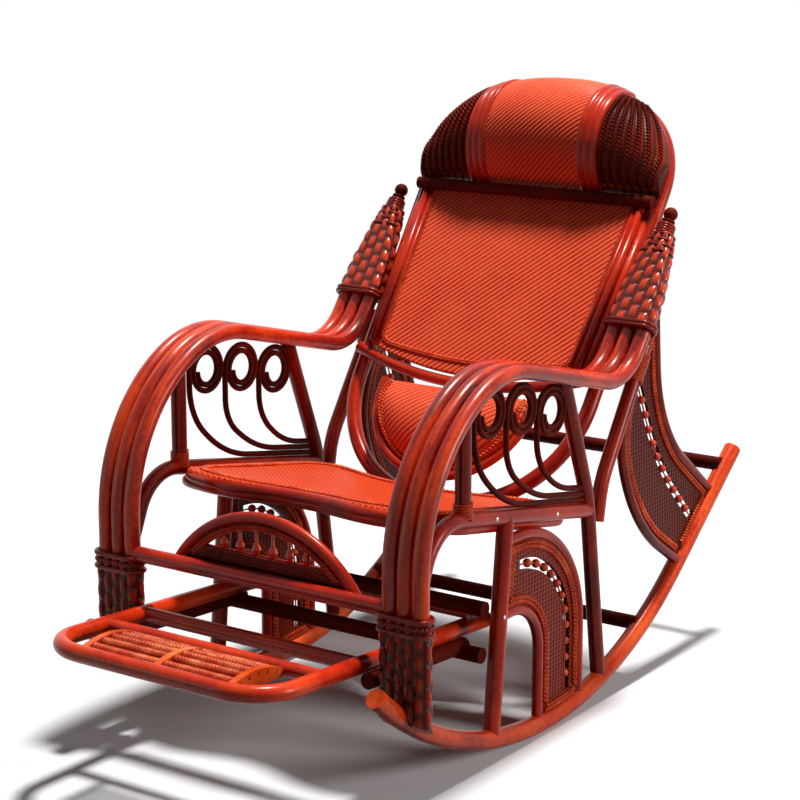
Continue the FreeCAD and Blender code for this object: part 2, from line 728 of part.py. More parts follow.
def roller_place(place):
    """Distance from the front pole and height of a roller's axle, on the boards' arch."""
    offset = (place - (ROLLER_COUNT - 1) / 2) * ROLLER_PITCH
    middle = (REST_POLE / 2 + BAR_A - BAR_POLE / 2) / 2
    return middle + offset, 9.0 - 8.0 * (offset / 50.0) ** 2


def roller_boards():
    front = REST_POLE / 2 + SEATING
    rear = BAR_A - BAR_POLE / 2 - SEATING
    middle = (front + rear) / 2
    low, edge, crown = -9.0, 5.0, 16.5
    outline = [Vector(0, front, low), Vector(0, rear, low), Vector(0, rear, edge), Vector(0, front, edge)]
    edges = [Part.LineSegment(outline[k], outline[k + 1]).toShape() for k in (0, 1)]
    edges.append(Part.Arc(outline[2], Vector(0, middle, crown), outline[3]).toShape())
    edges.append(Part.LineSegment(outline[3], outline[0]).toShape())
    boards = []
    for x in (-BOARD_X, 0.0, BOARD_X):
        face = Part.Face(Part.Wire(edges))
        face.translate(Vector(x - BOARD_WIDTH / 2, 0, 0))
        board = face.extrude(Vector(BOARD_WIDTH, 0, 0))
        for place in range(ROLLER_COUNT):
            y, z = roller_place(place)
            board = board.cut(cross_rod(y, z, 2 * BOARD_X, 2 * AXLE_RADIUS + 0.1))
        boards.append(on_rest(cope(board, pole(rest_wire(), REST_POLE + 2 * SEATING))))
    parts["roller_boards"] = Part.makeCompound(boards)


def rollers():
    """Each row: two barrels on one axle that turns in the three boards."""
    end = BOARD_X + BOARD_WIDTH / 2 - 1
    barrel = BOARD_X - BOARD_WIDTH - 1.2
    for place in range(ROLLER_COUNT):
        y, z = roller_place(place)
        body = cross_rod(y, z, end, 2 * AXLE_RADIUS)
        for start in (-BOARD_X + BOARD_WIDTH / 2 + 0.6, BOARD_WIDTH / 2 + 0.6):
            drum = rod(Vector(start, y, z), Vector(start + barrel, y, z), 2 * ROLLER_RADIUS)
            body = body.fuse(drum.makeChamfer(1.5, [edge for edge in drum.Edges if len(edge.Vertexes) == 1]))
        parts["massage_roller_%d" % (place + 1)] = on_rest(body.removeSplitter())


def build():
    both_sides("runner", pole(runner_wire(), RUNNER_POLE))
    both_sides("arm_poles", arm_poles())
    both_sides("leg_sleeve", leg_sleeve())
    both_sides("post_sleeve", post_sleeve())
    parts["finials"] = Part.makeCompound([finial(), mirrored(finial())])
    side_rails()
    both_sides("arm_scrolls", Part.makeCompound([scroll(place) for place in range(len(SCROLL_CENTRES))]))
    fan_frame, fan_weave, fan_beads = fan_panel()
    tail_frame, tail_weave, tail_beads = tail_panel()
    both_sides("fan_frame", fan_frame)
    both_sides("fan_weave", fan_weave)
    both_sides("tail_frame", tail_frame)
    both_sides("tail_weave", tail_weave)
    both_sides("panel_beads", Part.makeCompound([fan_beads, tail_beads]))
    parts["front_rail"] = front_rail()
    lunette()
    cross_rails()
    seat()
    parts["back_frame"] = on_head(pole(back_loop(), BACK_FRAME_POLE))
    back_bars()
    parts["back_panel"] = back_panel()
    head()
    lumbar()
    footrest()
    roller_boards()
    rollers()


build()
os.makedirs("parts", exist_ok=True)
for name, shape in parts.items():
    shape.translate(FLOOR)
    shape.exportStep("parts/%s.step" % name)
print(len(parts), "nodes")
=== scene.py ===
import math
import bpy
import bmesh
from mathutils import Matrix, Vector


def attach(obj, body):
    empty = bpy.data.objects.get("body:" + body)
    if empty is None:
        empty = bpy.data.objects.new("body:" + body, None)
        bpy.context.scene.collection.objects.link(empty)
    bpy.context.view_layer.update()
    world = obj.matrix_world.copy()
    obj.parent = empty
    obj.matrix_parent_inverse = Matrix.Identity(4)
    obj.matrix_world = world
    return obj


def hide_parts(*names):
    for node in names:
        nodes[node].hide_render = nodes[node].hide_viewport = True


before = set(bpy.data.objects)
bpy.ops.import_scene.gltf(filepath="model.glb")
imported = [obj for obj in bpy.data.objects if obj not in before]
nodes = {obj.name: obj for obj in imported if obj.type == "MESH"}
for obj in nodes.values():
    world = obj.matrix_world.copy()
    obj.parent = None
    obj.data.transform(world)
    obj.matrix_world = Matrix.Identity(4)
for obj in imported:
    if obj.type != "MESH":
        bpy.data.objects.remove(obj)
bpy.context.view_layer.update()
print("frame:", len(nodes), "nodes")


def leaning(place, lean=0.0, axis="X"):
    return Matrix.Translation(place) @ Matrix.Rotation(lean, 4, axis)


# Pieces are drawn in millimetres on their own planes, then set in the chair in metres
metres = Matrix.Scale(0.001, 4)
mirrorX = Matrix.Scale(-1, 4, (1, 0, 0))
upward = Vector((0, 0, 1))
sideways = Vector((1, 0, 0))
bothSides = (("Left", Matrix.Identity(4)), ("Right", mirrorX))
chairPlane = leaning((0, -17.65, -8.7))
backPlane = chairPlane @ leaning((0, 435, 848), math.radians(52.6))
headPlane = backPlane @ leaning((0, -300, -30), math.radians(2.86)) @ leaning((0, 292, 30))
seatPlane = chairPlane @ leaning((0, 0, 368.2), -math.atan(0.185))
restPlane = chairPlane @ leaning((0, -646, 247), math.radians(-3.6))
postPlane = chairPlane @ leaning((285, 280.12, 648), -math.atan(1 / 1.32))
legPlane = chairPlane @ leaning((285, -388, 0))
sidePlane = chairPlane @ leaning((285, 0, 0))
tailPlane = chairPlane @ leaning((287, 0, 215), math.radians(-3), "Y") @ leaning((0, 0, -215))
lunettePlane = chairPlane @ leaning((0, -365.7, 0))


def linear(code):
    parts = [int(code[k:k + 2], 16) / 255 for k in (1, 3, 5)]
    return [c / 12.92 if c <= 0.04045 else ((c + 0.055) / 1.055) ** 2.4 for c in parts] + [1.0]


def addNode(tree, kind, settings, inputs):
    node = tree.nodes.new(kind)
    for key, value in settings.items():
        if key == "stops":
            ramp = node.color_ramp.elements
            while len(ramp) < len(value):
                ramp.new(0.5)
            for spot, (place, code) in zip(ramp, value):
                spot.position = place
                spot.color = linear(code)
        else:
            setattr(node, key, value)
    for key, value in inputs.items():
        if isinstance(value, bpy.types.NodeSocket):
            tree.links.new(value, node.inputs[key])
        else:
            node.inputs[key].default_value = value
    return node


def freshTree(name):
    material = bpy.data.materials.new(name)
    material.use_nodes = True
    material.node_tree.nodes.clear()
    return material, material.node_tree


def bands(sizeMm):
    return math.pi / (10 * sizeMm * 0.001)  # wave texture scale for one band every sizeMm


def grains(sizeMm):
    return 1 / (sizeMm * 0.001)  # noise texture scale for blotches of about sizeMm


# Clear warm lacquer: its tint keeps the white room from greying the dark cane
lacquerLook = {"ior": 1.5, "tint": "#FFC8B4", "coatRoughness": 0.2}
poreMm = 0.5  # depth of the pores in a round pole
fibreMm = 0.4  # depth of the fibres in a split strand


def finishSkin(tree, look, tone, height, depthMm):  # colour ramp, bump and the lacquer coat over them
    ramp = addNode(tree, "ShaderNodeValToRGB", {"stops": look["tones"]}, {"Fac": tone})
    bump = addNode(tree, "ShaderNodeBump", {}, {
        "Height": height, "Strength": look["bump"], "Distance": depthMm * 0.001})
    skin = addNode(tree, "ShaderNodeBsdfPrincipled", {}, {
        "Base Color": ramp.outputs["Color"], "Normal": bump.outputs["Normal"],
        "Roughness": look["roughness"], "IOR": lacquerLook["ior"], "Metallic": look.get("metal", 0.0),
        "Specular IOR Level": look["shine"], "Specular Tint": linear(lacquerLook["tint"]),
        "Coat Weight": look["coat"], "Coat Roughness": lacquerLook["coatRoughness"],
        "Coat IOR": lacquerLook["ior"]})
    addNode(tree, "ShaderNodeOutputMaterial", {}, {"Surface": skin.outputs[0]})


# Rattan or beech under red lacquer: a soft gloss, tone drifting along the cane, faint darker flecks
def lacquered(name, look):
    material, tree = freshTree(name)
    coords = addNode(tree, "ShaderNodeTexCoord", {}, {})
    drawn = addNode(tree, "ShaderNodeMapping", {}, {
        "Vector": coords.outputs["Object"], "Scale": look.get("stretch", (1, 1, 1))})
    drift = addNode(tree, "ShaderNodeTexNoise", {}, {
        "Vector": drawn.outputs[0], "Scale": grains(look["driftMm"]), "Detail": 4.0, "Roughness": 0.6})
    fleck = addNode(tree, "ShaderNodeTexNoise", {}, {
        "Vector": coords.outputs["Object"], "Scale": grains(look["fleckMm"]), "Detail": 6.0,
        "Roughness": 0.7})
    tone = addNode(tree, "ShaderNodeMath", {"operation": "MULTIPLY_ADD"}, {
        0: fleck.outputs["Fac"], 1: look["fleckDepth"], 2: drift.outputs["Fac"]})
    finishSkin(tree, look, tone.outputs[0], fleck.outputs["Fac"], poreMm)
    return material


# Split cane whose strands are modelled: tone follows each strand's rise, painted shade where a strand
# dives and painted light on its crown
def wovenCane(name, look):
    material, tree = freshTree(name)
    coords = addNode(tree, "ShaderNodeTexCoord", {}, {})
    rise = addNode(tree, "ShaderNodeAttribute", {"attribute_name": "rise"}, {})
    drift = addNode(tree, "ShaderNodeTexNoise", {}, {
        "Vector": coords.outputs["Object"], "Scale": grains(look["driftMm"]), "Detail": 4.0,
        "Roughness": 0.6})
    fleck = addNode(tree, "ShaderNodeTexNoise", {}, {
        "Vector": coords.outputs["Object"], "Scale": grains(look["fleckMm"]), "Detail": 5.0,
        "Roughness": 0.7})
    stain = addNode(tree, "ShaderNodeMath", {"operation": "MULTIPLY_ADD"}, {
        0: fleck.outputs["Fac"], 1: look["fleckDepth"], 2: drift.outputs["Fac"]})
    # the rise lifts the tone: painted shade in the hollows, painted light on the crowns
    tone = addNode(tree, "ShaderNodeMath", {"operation": "MULTIPLY_ADD"}, {
        0: stain.outputs[0], 1: look["stain"], 2: rise.outputs["Fac"]})
    finishSkin(tree, look, tone.outputs[0], fleck.outputs["Fac"], fibreMm)
    return material


# Cane woven too fine to model: crossing bands at the strand's own pitch, painted shade between the strands
def fineCane(name, look):
    material, tree = freshTree(name)
    coords = addNode(tree, "ShaderNodeTexCoord", {}, {})
    turned = addNode(tree, "ShaderNodeMapping", {}, {
        "Vector": coords.outputs[look["coords"]], "Rotation": look["turn"]})
    rib = addNode(tree, "ShaderNodeTexWave", {"wave_type": "BANDS", "bands_direction": "X"}, {
        "Vector": turned.outputs[0], "Scale": bands(look["ribMm"]), "Distortion": 0.5, "Detail": 1.0,
        "Detail Scale": 2.0})
    strand = addNode(tree, "ShaderNodeTexWave", {"wave_type": "BANDS", "bands_direction": "Y"}, {
        "Vector": turned.outputs[0], "Scale": bands(look["strandMm"]), "Distortion": 0.6, "Detail": 1.0,
        "Detail Scale": 3.0})
    drift = addNode(tree, "ShaderNodeTexNoise", {}, {
        "Vector": coords.outputs["Object"], "Scale": grains(look["driftMm"]), "Detail": 5.0,
        "Roughness": 0.65})
    # the bands' low parts darken the tone: painted shade between the strands
    weave = addNode(tree, "ShaderNodeMath", {"operation": "MULTIPLY_ADD"}, {
        0: strand.outputs["Fac"], 1: look["strandDepth"], 2: rib.outputs["Fac"]})
    tone = addNode(tree, "ShaderNodeMath", {"operation": "MULTIPLY_ADD"}, {
        0: drift.outputs["Fac"], 1: look["stain"], 2: weave.outputs[0]})
    finishSkin(tree, look, tone.outputs[0], weave.outputs[0], look["depthMm"])
    return material


# Steam-bent rattan under red lacquer: deep red, lighter where the lacquer is thin
poleLook = {"driftMm": 150, "fleckMm": 9, "fleckDepth": 0.35, "bump": 0.10, "roughness": 0.30,
            "shine": 0.18, "coat": 0.16, "tones": [(0.42, "#6C0E04"), (0.64, "#A61A06"), (0.88, "#CE340E")]}
# Runners: the same pole in brighter orange, streaked along its length, the brightness painted light on the
# lit runners
runnerLook = dict(poleLook, stretch=(8, 1, 1), shine=0.16, coat=0.10,
                  tones=[(0.46, "#9C2008"), (0.64, "#D64012"), (0.84, "#F26028")])
# Arms: streaks from dark to orange side by side along the poles, painted light and shade for the gleam
# along each pole, with a broader gleam where hands polish them
armLook = dict(poleLook, driftMm=160, stretch=(12, 1, 1), roughness=0.35, shine=0.40,
               tones=[(0.48, "#5C0A03"), (0.64, "#A81A06"), (0.82, "#E0420F")])
# Footrest loop: a brighter red than the poles, painted light on the footrest standing out in the light
restLook = dict(poleLook, tones=[(0.42, "#8E1606"), (0.64, "#C62C0C"), (0.88, "#E84A1A")])
# Rear legs, rims and coils: a darker maroon copy of the pole lacquer, painted shade where these parts sit
# in shade, with a narrow gleam
duskLook = dict(poleLook, driftMm=120, roughness=0.28, shine=0.16, coat=0.14,
                tones=[(0.42, "#420804"), (0.64, "#741208"), (0.88, "#A42810")])
# Scrolls, finials and cross rails: almost black, partly their dark lacquer and partly painted shade under
# the seat, arms and pillow, rubbed matt
shadeLook = dict(poleLook, driftMm=120, roughness=0.58, shine=0.08, coat=0.0,
                 tones=[(0.42, "#2C0503"), (0.64, "#4C0C05"), (0.88, "#701808")])
# Split cane in plaits and bindings: orange red, tone changing from stitch to stitch
strandLook = {"driftMm": 40, "fleckMm": 5, "fleckDepth": 0.5, "bump": 0.12, "roughness": 0.28,
              "shine": 0.16, "coat": 0.12, "tones": [(0.45, "#9C2008"), (0.70, "#CC3C12"), (0.95, "#E6642C")]}
# Turned beech beads: the smoothest lacquer on the chair, a bright even red
beadLook = {"driftMm": 60, "fleckMm": 6, "fleckDepth": 0.3, "bump": 0.05, "roughness": 0.2,
            "shine": 0.2, "coat": 0.25, "tones": [(0.40, "#B01E0A"), (0.62, "#D43212"), (0.88, "#E64E20")]}
# Turned beech rollers: lacquer rubbed through to pale wood in spots
rollerLook = {"driftMm": 30, "fleckMm": 4, "fleckDepth": 0.4, "bump": 0.1, "roughness": 0.3,
              "shine": 0.16, "coat": 0.12, "tones": [(0.40, "#8A1808"), (0.65, "#BC3A16"), (0.90, "#E07848")]}
# Sawn beech boards that hold the rollers: thin orange lacquer
boardLook = {"driftMm": 80, "fleckMm": 6, "fleckDepth": 0.35, "bump": 0.08, "roughness": 0.3,
             "shine": 0.15, "coat": 0.08, "tones": [(0.40, "#C23A0E"), (0.65, "#DE521A"), (0.90, "#EC7030")]}
# Nickel-plated steel: small pale dots against the red
screwLook = {"driftMm": 8, "fleckMm": 2, "fleckDepth": 0.3, "bump": 0.05, "roughness": 0.3, "metal": 1.0,
             "shine": 0.5, "coat": 0.0, "tones": [(0.40, "#8E8A86"), (0.65, "#B8B4B0"), (0.90, "#D8D6D2")]}
# Twill of split cane: painted light on the crowns and painted shade in the gaps run in diagonal lines
twillLook = {"driftMm": 90, "fleckMm": 5, "fleckDepth": 0.5, "stain": 0.6, "bump": 0.15, "roughness": 0.34,
             "shine": 0.1, "coat": 0.02,
             "tones": [(0.20, "#720F08"), (0.60, "#B8220E"), (0.95, "#E24224"), (1.0, "#F26644")]}
# Split cane wrapped round the posts: painted shade in the joints between glinting cells
cellLook = {"driftMm": 45, "fleckMm": 6, "fleckDepth": 0.4, "stain": 0.35, "bump": 0.1, "roughness": 0.26,
            "shine": 0.5, "coat": 0.1,
            "tones": [(0.25, "#300502"), (0.65, "#7C1406"), (0.95, "#B4280E"), (1.0, "#CA3C18")]}
# The same wrapping on the front legs: darker and duller, the darkness painted shade where the legs stand
# in shade near the floor
legLook = dict(cellLook, shine=0.15, coat=0.03,
               tones=[(0.25, "#1E0302"), (0.65, "#5A0E05"), (0.95, "#8E1E0A"), (1.0, "#AA3014")])
# Corded cane in the pillow's cheeks: hollows near black as painted shade, brown crests
ribLook = {"driftMm": 30, "fleckMm": 4, "fleckDepth": 0.5, "stain": 0.3, "bump": 0.15, "roughness": 0.36,
           "shine": 0.1, "coat": 0.04,
           "tones": [(0.10, "#1E0403"), (0.50, "#480D06"), (0.90, "#7E200C"), (1.0, "#983416")]}
# Fine seat weave: a matt red check, set at 45 degrees and drawn coarse enough to show
seatLook = {"coords": "UV", "turn": (0, 0, math.radians(45)), "ribMm": 8.0, "strandMm": 8.0,
            "strandDepth": 0.8, "driftMm": 60, "stain": 0.5, "bump": 0.9, "depthMm": 1.2, "roughness": 0.4,
            "shine": 0.06, "coat": 0.01, "tones": [(0.35, "#841204"), (0.9, "#C22C0C"), (1.0, "#DC4C22")]}
# Dark weave of the fan panels and the lunette: brown strands over gaps painted black as shade, drawn
# coarse enough to show
panelLook = {"coords": "Object", "turn": (0, math.radians(90), 0), "ribMm": 7.5, "strandMm": 9.0,
             "strandDepth": 0.8, "driftMm": 35, "stain": 0.7, "bump": 0.45, "depthMm": 1.4, "roughness": 0.34,
             "shine": 0.06, "coat": 0.01, "tones": [(0.35, "#240402"), (0.9, "#561006"), (1.0, "#8C2810")]}
# The tail panels' weave: darker still, painted shade as the tail panels sit deeper in shade
tailLook = dict(panelLook, tones=[(0.35, "#1C0402"), (0.9, "#3C0A05"), (1.0, "#641A0A")])

poleSkin = lacquered("lacqueredRattanPole", poleLook)
runnerSkin = lacquered("lacqueredRattanRunner", runnerLook)
restSkin = lacquered("lacqueredRattanLoop", restLook)
armSkin = lacquered("streakedRattanPole", armLook)
duskSkin = lacquered("deepLacqueredRattan", duskLook)
shadeSkin = lacquered("darkLacqueredRattan", shadeLook)
strandSkin = lacquered("lacqueredSplitCane", strandLook)
beadSkin = lacquered("turnedBeechRedLacquer", beadLook)
rollerSkin = lacquered("turnedBeechRoller", rollerLook)
boardSkin = lacquered("beechBoardLacquer", boardLook)
screwSkin = lacquered("nickelPlatedSteel", screwLook)
twillSkin = wovenCane("twillSplitCane", twillLook)
cellSkin = wovenCane("wrappedSplitCane", cellLook)
legSkin = wovenCane("shadedSplitCane", legLook)
ribSkin = wovenCane("darkCordedCane", ribLook)
seatSkin = fineCane("fineSplitCane", seatLook)
panelSkin = fineCane("darkSplitCane", panelLook)
tailSkin = fineCane("smokedSplitCane", tailLook)

# The first word found in a node's name gives its skin, and other nodes are plain poles
# darker skins on the head bar, rails, guides, scrolls, rear legs, posts and tail are painted shade in part;
# the runner and footrest skins are brighter as painted light
cadSkins = {"beads": beadSkin, "spindles": beadSkin, "finials": shadeSkin, "head_bar": shadeSkin,
            "scrolls": shadeSkin, "rear_rails": shadeSkin, "guides": shadeSkin, "middle_rail": shadeSkin,
            "tail_weave": tailSkin, "tail_frame": duskSkin, "arm_poles": armSkin, "rear_leg": duskSkin,
            "arm_post": duskSkin, "boards": boardSkin, "roller_": rollerSkin, "runner": runnerSkin,
            "footrest_": restSkin, "weave": panelSkin}
for name, node in nodes.items():
    skin = next((cadSkins[key] for key in cadSkins if key in name), poleSkin)
    node.data.materials.clear()
    node.data.materials.append(skin)
print("materials on", len(nodes), "nodes")

weldMm = 0.005  # points closer than this are one
rearRise = 0.6  # even tone of a sheet's plain rear
twillSharp = 0.8  # under 1 makes a rib rounder


def makePiece(name, bm, plane, material, body="chair"):
    bmesh.ops.remove_doubles(bm, verts=bm.verts, dist=weldMm)
    bmesh.ops.transform(bm, matrix=metres @ plane, verts=bm.verts)
    bmesh.ops.recalc_face_normals(bm, faces=bm.faces)
    mesh = bpy.data.meshes.new(name)
    bm.to_mesh(mesh)
    bm.free()
    mesh.shade_smooth()
    mesh.materials.append(material)
    piece = bpy.data.objects.new(name, mesh)
    bpy.context.scene.collection.objects.link(piece)
    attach(piece, body)
    return piece


def fillHoles(bm):
    bmesh.ops.holes_fill(bm, edges=[edge for edge in bm.edges if edge.is_boundary], sides=0)


def closeBack(bm, depth):  # skirt round an open sheet and a flat rear face
    rise = bm.verts.layers.float["rise"]
    rim = [edge for edge in bm.edges if edge.is_boundary]
    made = bmesh.ops.extrude_edge_only(bm, edges=rim)
    for vert in made["geom"]:
        if isinstance(vert, bmesh.types.BMVert):
            vert.co.z = depth
            vert[rise] = rearRise
    fillHoles(bm)


def sheet(grid, spot):  # woven sheet: spot(u, v) gives the point, its place along the strands and its rise
    bm = bmesh.new()
    bmesh.ops.create_grid(bm, x_segments=grid[0], y_segments=grid[1], size=0.5)
    rise = bm.verts.layers.float.new("rise")
    lengths = {}
    for vert in bm.verts:
        point, length, high = spot(vert.co.x + 0.5, vert.co.y + 0.5)
        vert.co = point
        vert[rise] = high
        lengths[vert] = length
    layer = bm.loops.layers.uv.new("strands")
    for face in bm.faces:
        for loop in face.loops:
            loop[layer].uv = Vector(lengths[loop.vert]) * 0.001
    return bm


def twill(u, v, weave):  # share of the full rise at a point of a diagonal twill
    across = (u - v) / math.sqrt(2)
    along = (u + v) / math.sqrt(2)
    rib = abs(math.sin(math.pi * across / weave["ribMm"])) ** twillSharp
    notch = 0.5 + 0.5 * math.cos(2 * math.pi * along / weave["strandMm"])
    return rib * (1 - weave["notch"] * notch)


def domeArc(low, top, crown):  # mid height, radius, crown and half height of a round section
    half = (top - low) / 2
    return low + half, (half ** 2 + crown ** 2) / (2 * crown), crown, half


def domeHeight(arc, back, s):  # height of that section at s
    middle, radius, crown = arc[:3]
    return back + crown - radius + math.sqrt(max(radius ** 2 - (s - middle) ** 2, 0))


def routePoints(corners, bends, closed=False, step=4.0):  # points along straight runs and round bends
    corners = [Vector(c) for c in corners]
    count = len(corners)
    points = [] if closed else [corners[0]]
    inner = range(count) if closed else range(1, count - 1)
    for place, k in enumerate(inner):
        here = corners[k]
        back = (corners[k - 1] - here).normalized()
        ahead = (corners[(k + 1) % count] - here).normalized()
        half = back.angle(ahead) / 2
        reach = bends[place] / math.tan(half)
        centre = here + (back + ahead).normalized() * (bends[place] / math.sin(half))
        axis = back.cross(ahead).normalized()
        turns = max(3, int(bends[place] * (math.pi - 2 * half) / step))
        arm = here + back * reach - centre
        for turn in range(turns + 1):
            spin = Matrix.Rotation(-(math.pi - 2 * half) * turn / turns, 3, axis)
            points.append(centre + spin @ arm)
    if closed:
        points.append(points[0].copy())
    else:
        points.append(corners[-1])
    return points


def walk(points, pitch):  # evenly spaced places with their headings
    spans = [(b - a).length for a, b in zip(points, points[1:])]
    total = sum(spans)
    count = max(2, round(total / pitch))
    places = []
    run, k = 0.0, 0
    for step in range(count):
        want = (step + 0.5) * total / count
        while run + spans[k] < want:
            run += spans[k]
            k += 1
        heading = (points[k + 1] - points[k]).normalized()
        places.append((points[k] + heading * (want - run), heading))
    return places


def beside(points, up, distance, step=5.0):  # the same run moved sideways on its plane
    moved = []
    for place, heading in walk(points, step):
        moved.append(place + up.cross(heading).normalized() * distance)
    return moved


# Stitches of a plait and of a twisted cane, as shares of its width
braidShape = {"size": (0.86, 0.42, 0.5), "pitch": 0.52, "ahead": 0.76, "aside": 0.65, "stagger": 0.13,
              "spread": 0.24}
ropeShape = {"size": (1.25, 0.62, 0.8), "pitch": 0.62, "ahead": 0.8, "aside": 0.6}


def stitchMesh(size, width):  # one rounded strand showing between two crossings
    bm = bmesh.new()
    bmesh.ops.create_icosphere(bm, subdivisions=1, radius=0.5)
    bmesh.ops.scale(bm, vec=[width * share for share in size], verts=bm.verts)
    mesh = bpy.data.meshes.new("stitch")
    bm.to_mesh(mesh)
    bm.free()
    return mesh


def lay(bm, shape, heading, up, place):  # one copy of a shape, its X along heading and its Z along up
    side = up.cross(heading).normalized()
    up = heading.cross(side).normalized()
    turn = Matrix((heading, side, up)).transposed().to_4x4()
    copy = shape.copy()
    copy.transform(Matrix.Translation(place) @ turn)
    bm.from_mesh(copy)
    bpy.data.meshes.remove(copy)


def braid(bm, points, up, width):  # plait of slanted stitches in two rows
    shape = stitchMesh(braidShape["size"], width)
    for place, heading in walk(points, width * braidShape["pitch"]):
        side = up.cross(heading).normalized()
        for row in (-1, 1):
            slant = (heading * braidShape["ahead"] - side * row * braidShape["aside"]).normalized()
            shift = heading * (width * braidShape["stagger"] * row)
            lay(bm, shape, slant, up, place + side * row * width * braidShape["spread"] + shift)
    bpy.data.meshes.remove(shape)


def rope(bm, points, up, width):  # one row of slanted stitches, as a twisted cane shows
    shape = stitchMesh(ropeShape["size"], width)
    for place, heading in walk(points, width * ropeShape["pitch"]):
        top = up(place) if callable(up) else up
        side = top.cross(heading).normalized()
        slant = (heading * ropeShape["ahead"] + side * ropeShape["aside"]).normalized()
        lay(bm, shape, slant, top, place)
    bpy.data.meshes.remove(shape)


def caneRun(bm, points, radius, closed=False, fine=3):  # round cane along a run, from a bevelled curve
    curve = bpy.data.curves.new("cane", "CURVE")
    curve.dimensions = "3D"
    curve.bevel_depth = radius
    curve.bevel_resolution = fine
    curve.use_fill_caps = not closed
    run = curve.splines.new("POLY")
    run.points.add(len(points) - 1)
    for spot, point in zip(run.points, points):
        spot.co = (*point, 1)
    run.use_cyclic_u = closed
    holder = bpy.data.objects.new("cane", curve)
    mesh = bpy.data.meshes.new_from_object(holder)
    bm.from_mesh(mesh)
    bpy.data.objects.remove(holder)
    bpy.data.curves.remove(curve)
    bpy.data.meshes.remove(mesh)


def turnedRod(bm, stations, sides, plane):  # lathe work along X: (distance, radius) pairs
    first, radius = stations[0]
    start = plane @ Matrix.Translation((first, 0, 0)) @ Matrix.Rotation(math.pi / 2, 4, "Y")
    disc = bmesh.ops.create_circle(bm, cap_ends=True, segments=sides, radius=radius, matrix=start)
    edges = list({edge for vert in disc["verts"] for edge in vert.link_edges})
    for (last, small), (here, big) in zip(stations, stations[1:]):
        made = bmesh.ops.extrude_edge_only(bm, edges=edges)["geom"]
        verts = [g for g in made if isinstance(g, bmesh.types.BMVert)]
        edges = [g for g in made if isinstance(g, bmesh.types.BMEdge)]
        bmesh.ops.translate(bm, vec=plane.to_3x3() @ Vector((here - last, 0, 0)), verts=verts)
        centre = plane @ Vector((here, 0, 0))
        bmesh.ops.scale(bm, vec=[big / small] * 3, space=Matrix.Translation(-centre), verts=verts)
    bmesh.ops.contextual_create(bm, geom=edges)


print("building blocks ready")

# Back panel: a twill sheet between edge canes (inset, radius and height), with a plait along its border
backShape = {"top": -13.0, "side": -342.0, "middle": -381.0, "halfTop": 230.0, "halfLow": 218.0,
             "front": 2.0, "back": -6.0, "grid": (330, 256),
             "ribMm": 8.6, "strandMm": 5.2, "rise": 1.9, "notch": 0.35,
             "edges": ((-9, 9.0, -6.0), (4, 8.0, 3.0), (16, 4.0, 4.5)), "edgeTop": -14, "edgeLow": -340,
             "border": ((-208, -14), (-197, -338), (0, -366), (197, -338), (208, -14)),
             "borderBends": (24, 900, 24), "borderHigh": 4.4, "braidMm": 9.0}


def backSpot(u, v):
    low = backShape["middle"] + (backShape["side"] - backShape["middle"]) * (2 * u - 1) ** 2
    s = low + (backShape["top"] - low) * v
    widen = (backShape["halfTop"] - backShape["halfLow"]) * (s - backShape["side"])
    half = backShape["halfLow"] + widen / (backShape["top"] - backShape["side"])
    x = half * (2 * u - 1)
    high = twill(x, s, backShape)
    return (x, s, backShape["front"] + backShape["rise"] * high), (x, s), high


bm = sheet(backShape["grid"], backSpot)
closeBack(bm, backShape["back"])
panel = makePiece("backTwill", bm, backPlane, twillSkin)
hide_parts("back_panel")
bm = bmesh.new()
edgeEnds = ((backShape["halfTop"], backShape["edgeTop"]), (backShape["halfLow"], backShape["edgeLow"]))
for side in (-1, 1):
    for inset, radius, high in backShape["edges"]:
        caneRun(bm, [(side * (half - inset), s, high) for half, s in edgeEnds], radius)
makePiece("backEdgeCane", bm, backPlane, poleSkin)
bm = bmesh.new()
outline = [(x, s, backShape["borderHigh"]) for x, s in backShape["border"]]
braid(bm, routePoints(outline, backShape["borderBends"]), upward, backShape["braidMm"])
makePiece("backBraid", bm, backPlane, strandSkin)
print("back panel woven")

# Head pillow: twill between two straps, corded cheeks with twisted canes at the sides
headShape = {"low": 15.0, "top": 236.0, "back": -14.0, "half": 264.0, "round": 2.4, "endX": 252.0,
             "crown": 86.0, "crownFall": 0.9, "crownHalf": 268.0, "grid": (150, 200),
             "ribMm": 7.2, "strandMm": 5.0, "rise": 1.6, "notch": 0.35}
cheekShape = {"ribs": 7, "sharp": 0.7, "cordMm": 7.0, "base": 0.55, "cordShare": 0.45, "rise": 3.0,
              "settle": 8, "grid": (84, 110), "ropeMm": 12.0, "ropeLift": 1.0, "ropeUp": (0.4, 0.1, 0.9),
              "ropeSteps": 30, "ropeSpan": (1, 28)}
strapShape = {"x": 117.0, "half": 21.0, "humps": 3, "sharp": 0.5, "lift": 1.5, "rise": 4.0, "base": 0.25,
              "grid": (36, 64)}


def headTop(x):
    share = (abs(x) / headShape["half"]) ** headShape["round"]
    return headShape["top"] * math.sqrt(max(1 - share, 0))


def headEdge(s):
    share = max(1 - (s / headShape["top"]) ** 2, 0) ** (1 / headShape["round"])
    return min(headShape["half"] * share, headShape["endX"])


def headArc(x):
    fall = headShape["crownFall"] * (abs(x) / headShape["crownHalf"]) ** 3
    return domeArc(headShape["low"], headTop(x), headShape["crown"] * (1 - fall))


def headOn(x, v, lift=0.0):  # point on the round section, and its length along it
    middle, radius, crown, half = headArc(x)
    reach = math.atan2(half, radius - crown)
    angle = reach * (2 * v - 1)
    depth = headShape["back"] + crown - radius + (radius + lift) * math.cos(angle)
    return (x, middle + (radius + lift) * math.sin(angle), depth), radius * angle


def headCentre(u, v):
    x = (strapShape["x"] - strapShape["half"] + 1) * (2 * u - 1)
    along = headOn(x, v)[1]
    high = twill(x, along, headShape)
    return headOn(x, v, headShape["rise"] * high)[0], (x, along), high


